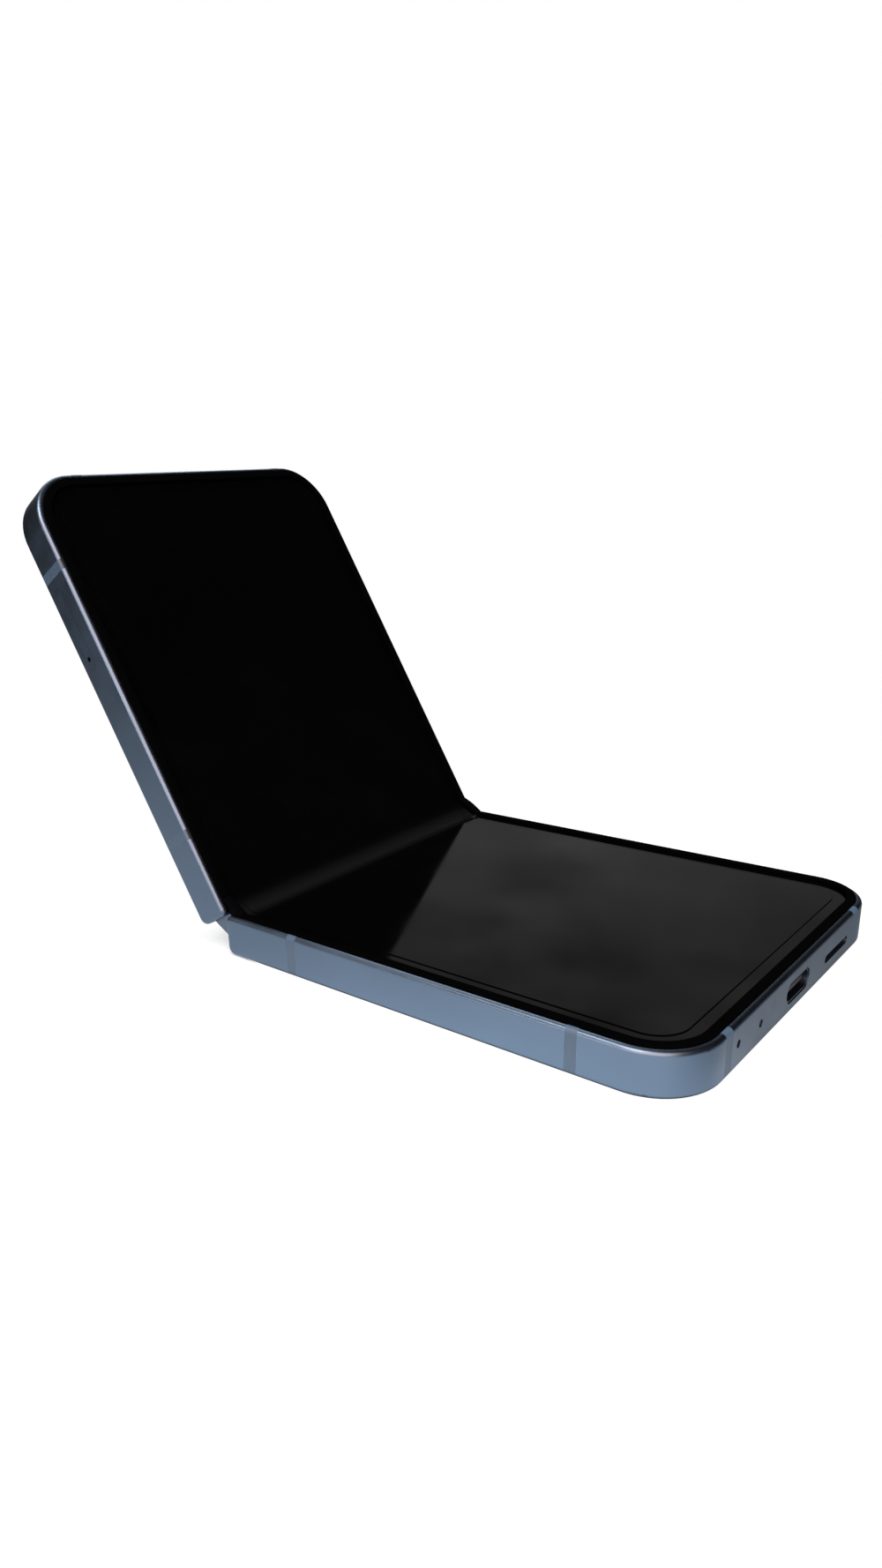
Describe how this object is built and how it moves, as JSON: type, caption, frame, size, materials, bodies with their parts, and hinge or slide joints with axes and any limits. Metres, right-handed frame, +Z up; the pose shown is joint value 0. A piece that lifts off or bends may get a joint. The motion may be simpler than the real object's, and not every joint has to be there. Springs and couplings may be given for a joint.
{
  "type": "folding smartphone",
  "caption": "Clamshell folding smartphone standing half open on its lower half, with a flexible inner screen, geared spine hinge, side keys and pull-out card tray.",
  "frame": {"origin": "centre of the lower half's back face, the face that lies on the table", "axes": "+Z up from the table, +Y from the charging-port end of the lower half towards the fold, +X to the right seen from the charging-port end"},
  "size_m": [0.0722, 0.1297, 0.0773],
  "materials": {
    "anodised_blue": "satin anodised",
    "spine_blue": "satin",
    "band_grey": "matte",
    "bezel_black": "semi-gloss",
    "soft_black": "matte",
    "screen_black": "gloss",
    "film": "gloss",
    "back_glass_blue": "satin, colour backed",
    "back_glass_dark": "gloss, colour backed",
    "lens_glass": "gloss",
    "ring_metal": "satin anodised",
    "steel": "stamped",
    "battery_wrap": "matte wrap",
    "copper": "wound wire",
    "board_green": "solder mask",
    "flex_amber": "polyimide",
    "module_black": "matte"
  },
  "bodies": {
    "lower_half": {"lower_frame": "anodised_blue", "lower_antenna_bands": "band_grey", "lower_bezel": "bezel_black", "lower_display_panel": "screen_black", "lower_screen_film": "film", "lower_wing_plate": "steel", "lower_hinge_arms": "steel", "lower_sync_arm": "steel", "lower_hinge_screws": "steel", "lower_back_glass": "back_glass_blue", "lower_battery": "battery_wrap", "charging_coil": "copper", "usb_board": "board_green", "usb_shell": "steel", "usb_tongue": "module_black", "loudspeaker": "module_black", "speaker_mesh": "steel", "vibration_motor": "steel", "bottom_microphones": "module_black"},
    "spine": {"spine_cover": "spine_blue", "spine_end_caps": "spine_blue", "fold_support_plate": "steel", "hinge_brackets": "steel", "sync_bracket": "steel", "display_fold": "screen_black", "fold_caps": "soft_black", "hinge_flex_cable": "flex_amber"},
    "upper_half": {"upper_frame": "anodised_blue", "upper_antenna_bands": "band_grey", "upper_bezel": "bezel_black", "upper_display_panel": "screen_black", "upper_screen_film": "film", "upper_wing_plate": "steel", "upper_hinge_arms": "steel", "upper_sync_arm": "steel", "upper_hinge_screws": "steel", "upper_back_glass": "back_glass_dark", "upper_battery": "battery_wrap", "camera_rings": "ring_metal", "camera_lenses": "lens_glass", "rear_camera_modules": "module_black", "flash_lens": "lens_glass", "cover_display": "module_black", "main_board": "board_green", "shield_cans": "steel", "front_camera": "module_black", "earpiece": "module_black", "side_key_switches": "steel", "sim_socket": "steel"},
    "sync_gear_lower": {"sync_gear_lower": "steel"},
    "idler_gear_lower": {"idler_gear_lower": "steel"},
    "idler_gear_upper": {"idler_gear_upper": "steel"},
    "sync_gear_upper": {"sync_gear_upper": "steel"},
    "power_key": {"power_key": "anodised_blue"},
    "volume_key": {"volume_key": "anodised_blue"},
    "sim_tray": {"sim_tray": "anodised_blue"}
  },
  "joints": [
    {"name": "lower_fold", "type": "hinge", "parent": "lower_half", "child": "spine", "pos_m": [0, 0.03957, 0.00575], "axis": [1, 0, 0], "range_deg": [-29.66, 60.34], "deforming": ["display_fold", "fold_caps", "hinge_flex_cable"]},
    {"name": "upper_fold", "type": "hinge", "parent": "spine", "child": "upper_half", "pos_m": [0, 0.04253, 0.00743], "axis": [1, 0, 0], "range_deg": [-29.66, 60.34], "deforming": ["display_fold", "fold_caps", "hinge_flex_cable"]},
    {"name": "sync_gear_lower_spin", "type": "hinge", "parent": "spine", "child": "sync_gear_lower", "pos_m": [0, 0.04023, 0.00319], "axis": [1, 0, 0], "range_deg": [-101.34, 205.66]},
    {"name": "idler_gear_lower_spin", "type": "hinge", "parent": "spine", "child": "idler_gear_lower", "pos_m": [0, 0.04153, 0.00393], "axis": [1, 0, 0], "range_deg": [-137.27, 67.73]},
    {"name": "idler_gear_upper_spin", "type": "hinge", "parent": "spine", "child": "idler_gear_upper", "pos_m": [0, 0.04309, 0.00483], "axis": [1, 0, 0], "range_deg": [-67.73, 137.27]},
    {"name": "sync_gear_upper_spin", "type": "hinge", "parent": "spine", "child": "sync_gear_upper", "pos_m": [0, 0.0444, 0.00557], "axis": [1, 0, 0], "range_deg": [-205.66, 101.34]},
    {"name": "power_press", "type": "slide", "parent": "upper_half", "child": "power_key", "axis": [-1, 0, 0], "range_m": [0, 0.00025], "stiffness_N_per_m": 4000},
    {"name": "volume_rock", "type": "hinge", "parent": "upper_half", "child": "volume_key", "pos_m": [0.03385, 0.07272, 0.05382], "axis": [0, -0.86, 0.5102], "range_deg": [-0.9, 0.9], "stiffness_Nm_per_rad": 0.5},
    {"name": "sim_tray_slide", "type": "slide", "parent": "upper_half", "child": "sim_tray", "axis": [-1, 0, 0], "range_m": [0, 0.014]}
  ],
  "couplings": [
    {"joint": "upper_fold", "follows": "lower_fold", "ratio": 1},
    {"joint": "sync_gear_lower_spin", "follows": "lower_fold", "ratio": 3.4},
    {"joint": "idler_gear_lower_spin", "follows": "lower_fold", "ratio": -2.2667},
    {"joint": "idler_gear_upper_spin", "follows": "lower_fold", "ratio": 2.2667},
    {"joint": "sync_gear_upper_spin", "follows": "lower_fold", "ratio": -3.4}
  ]
}
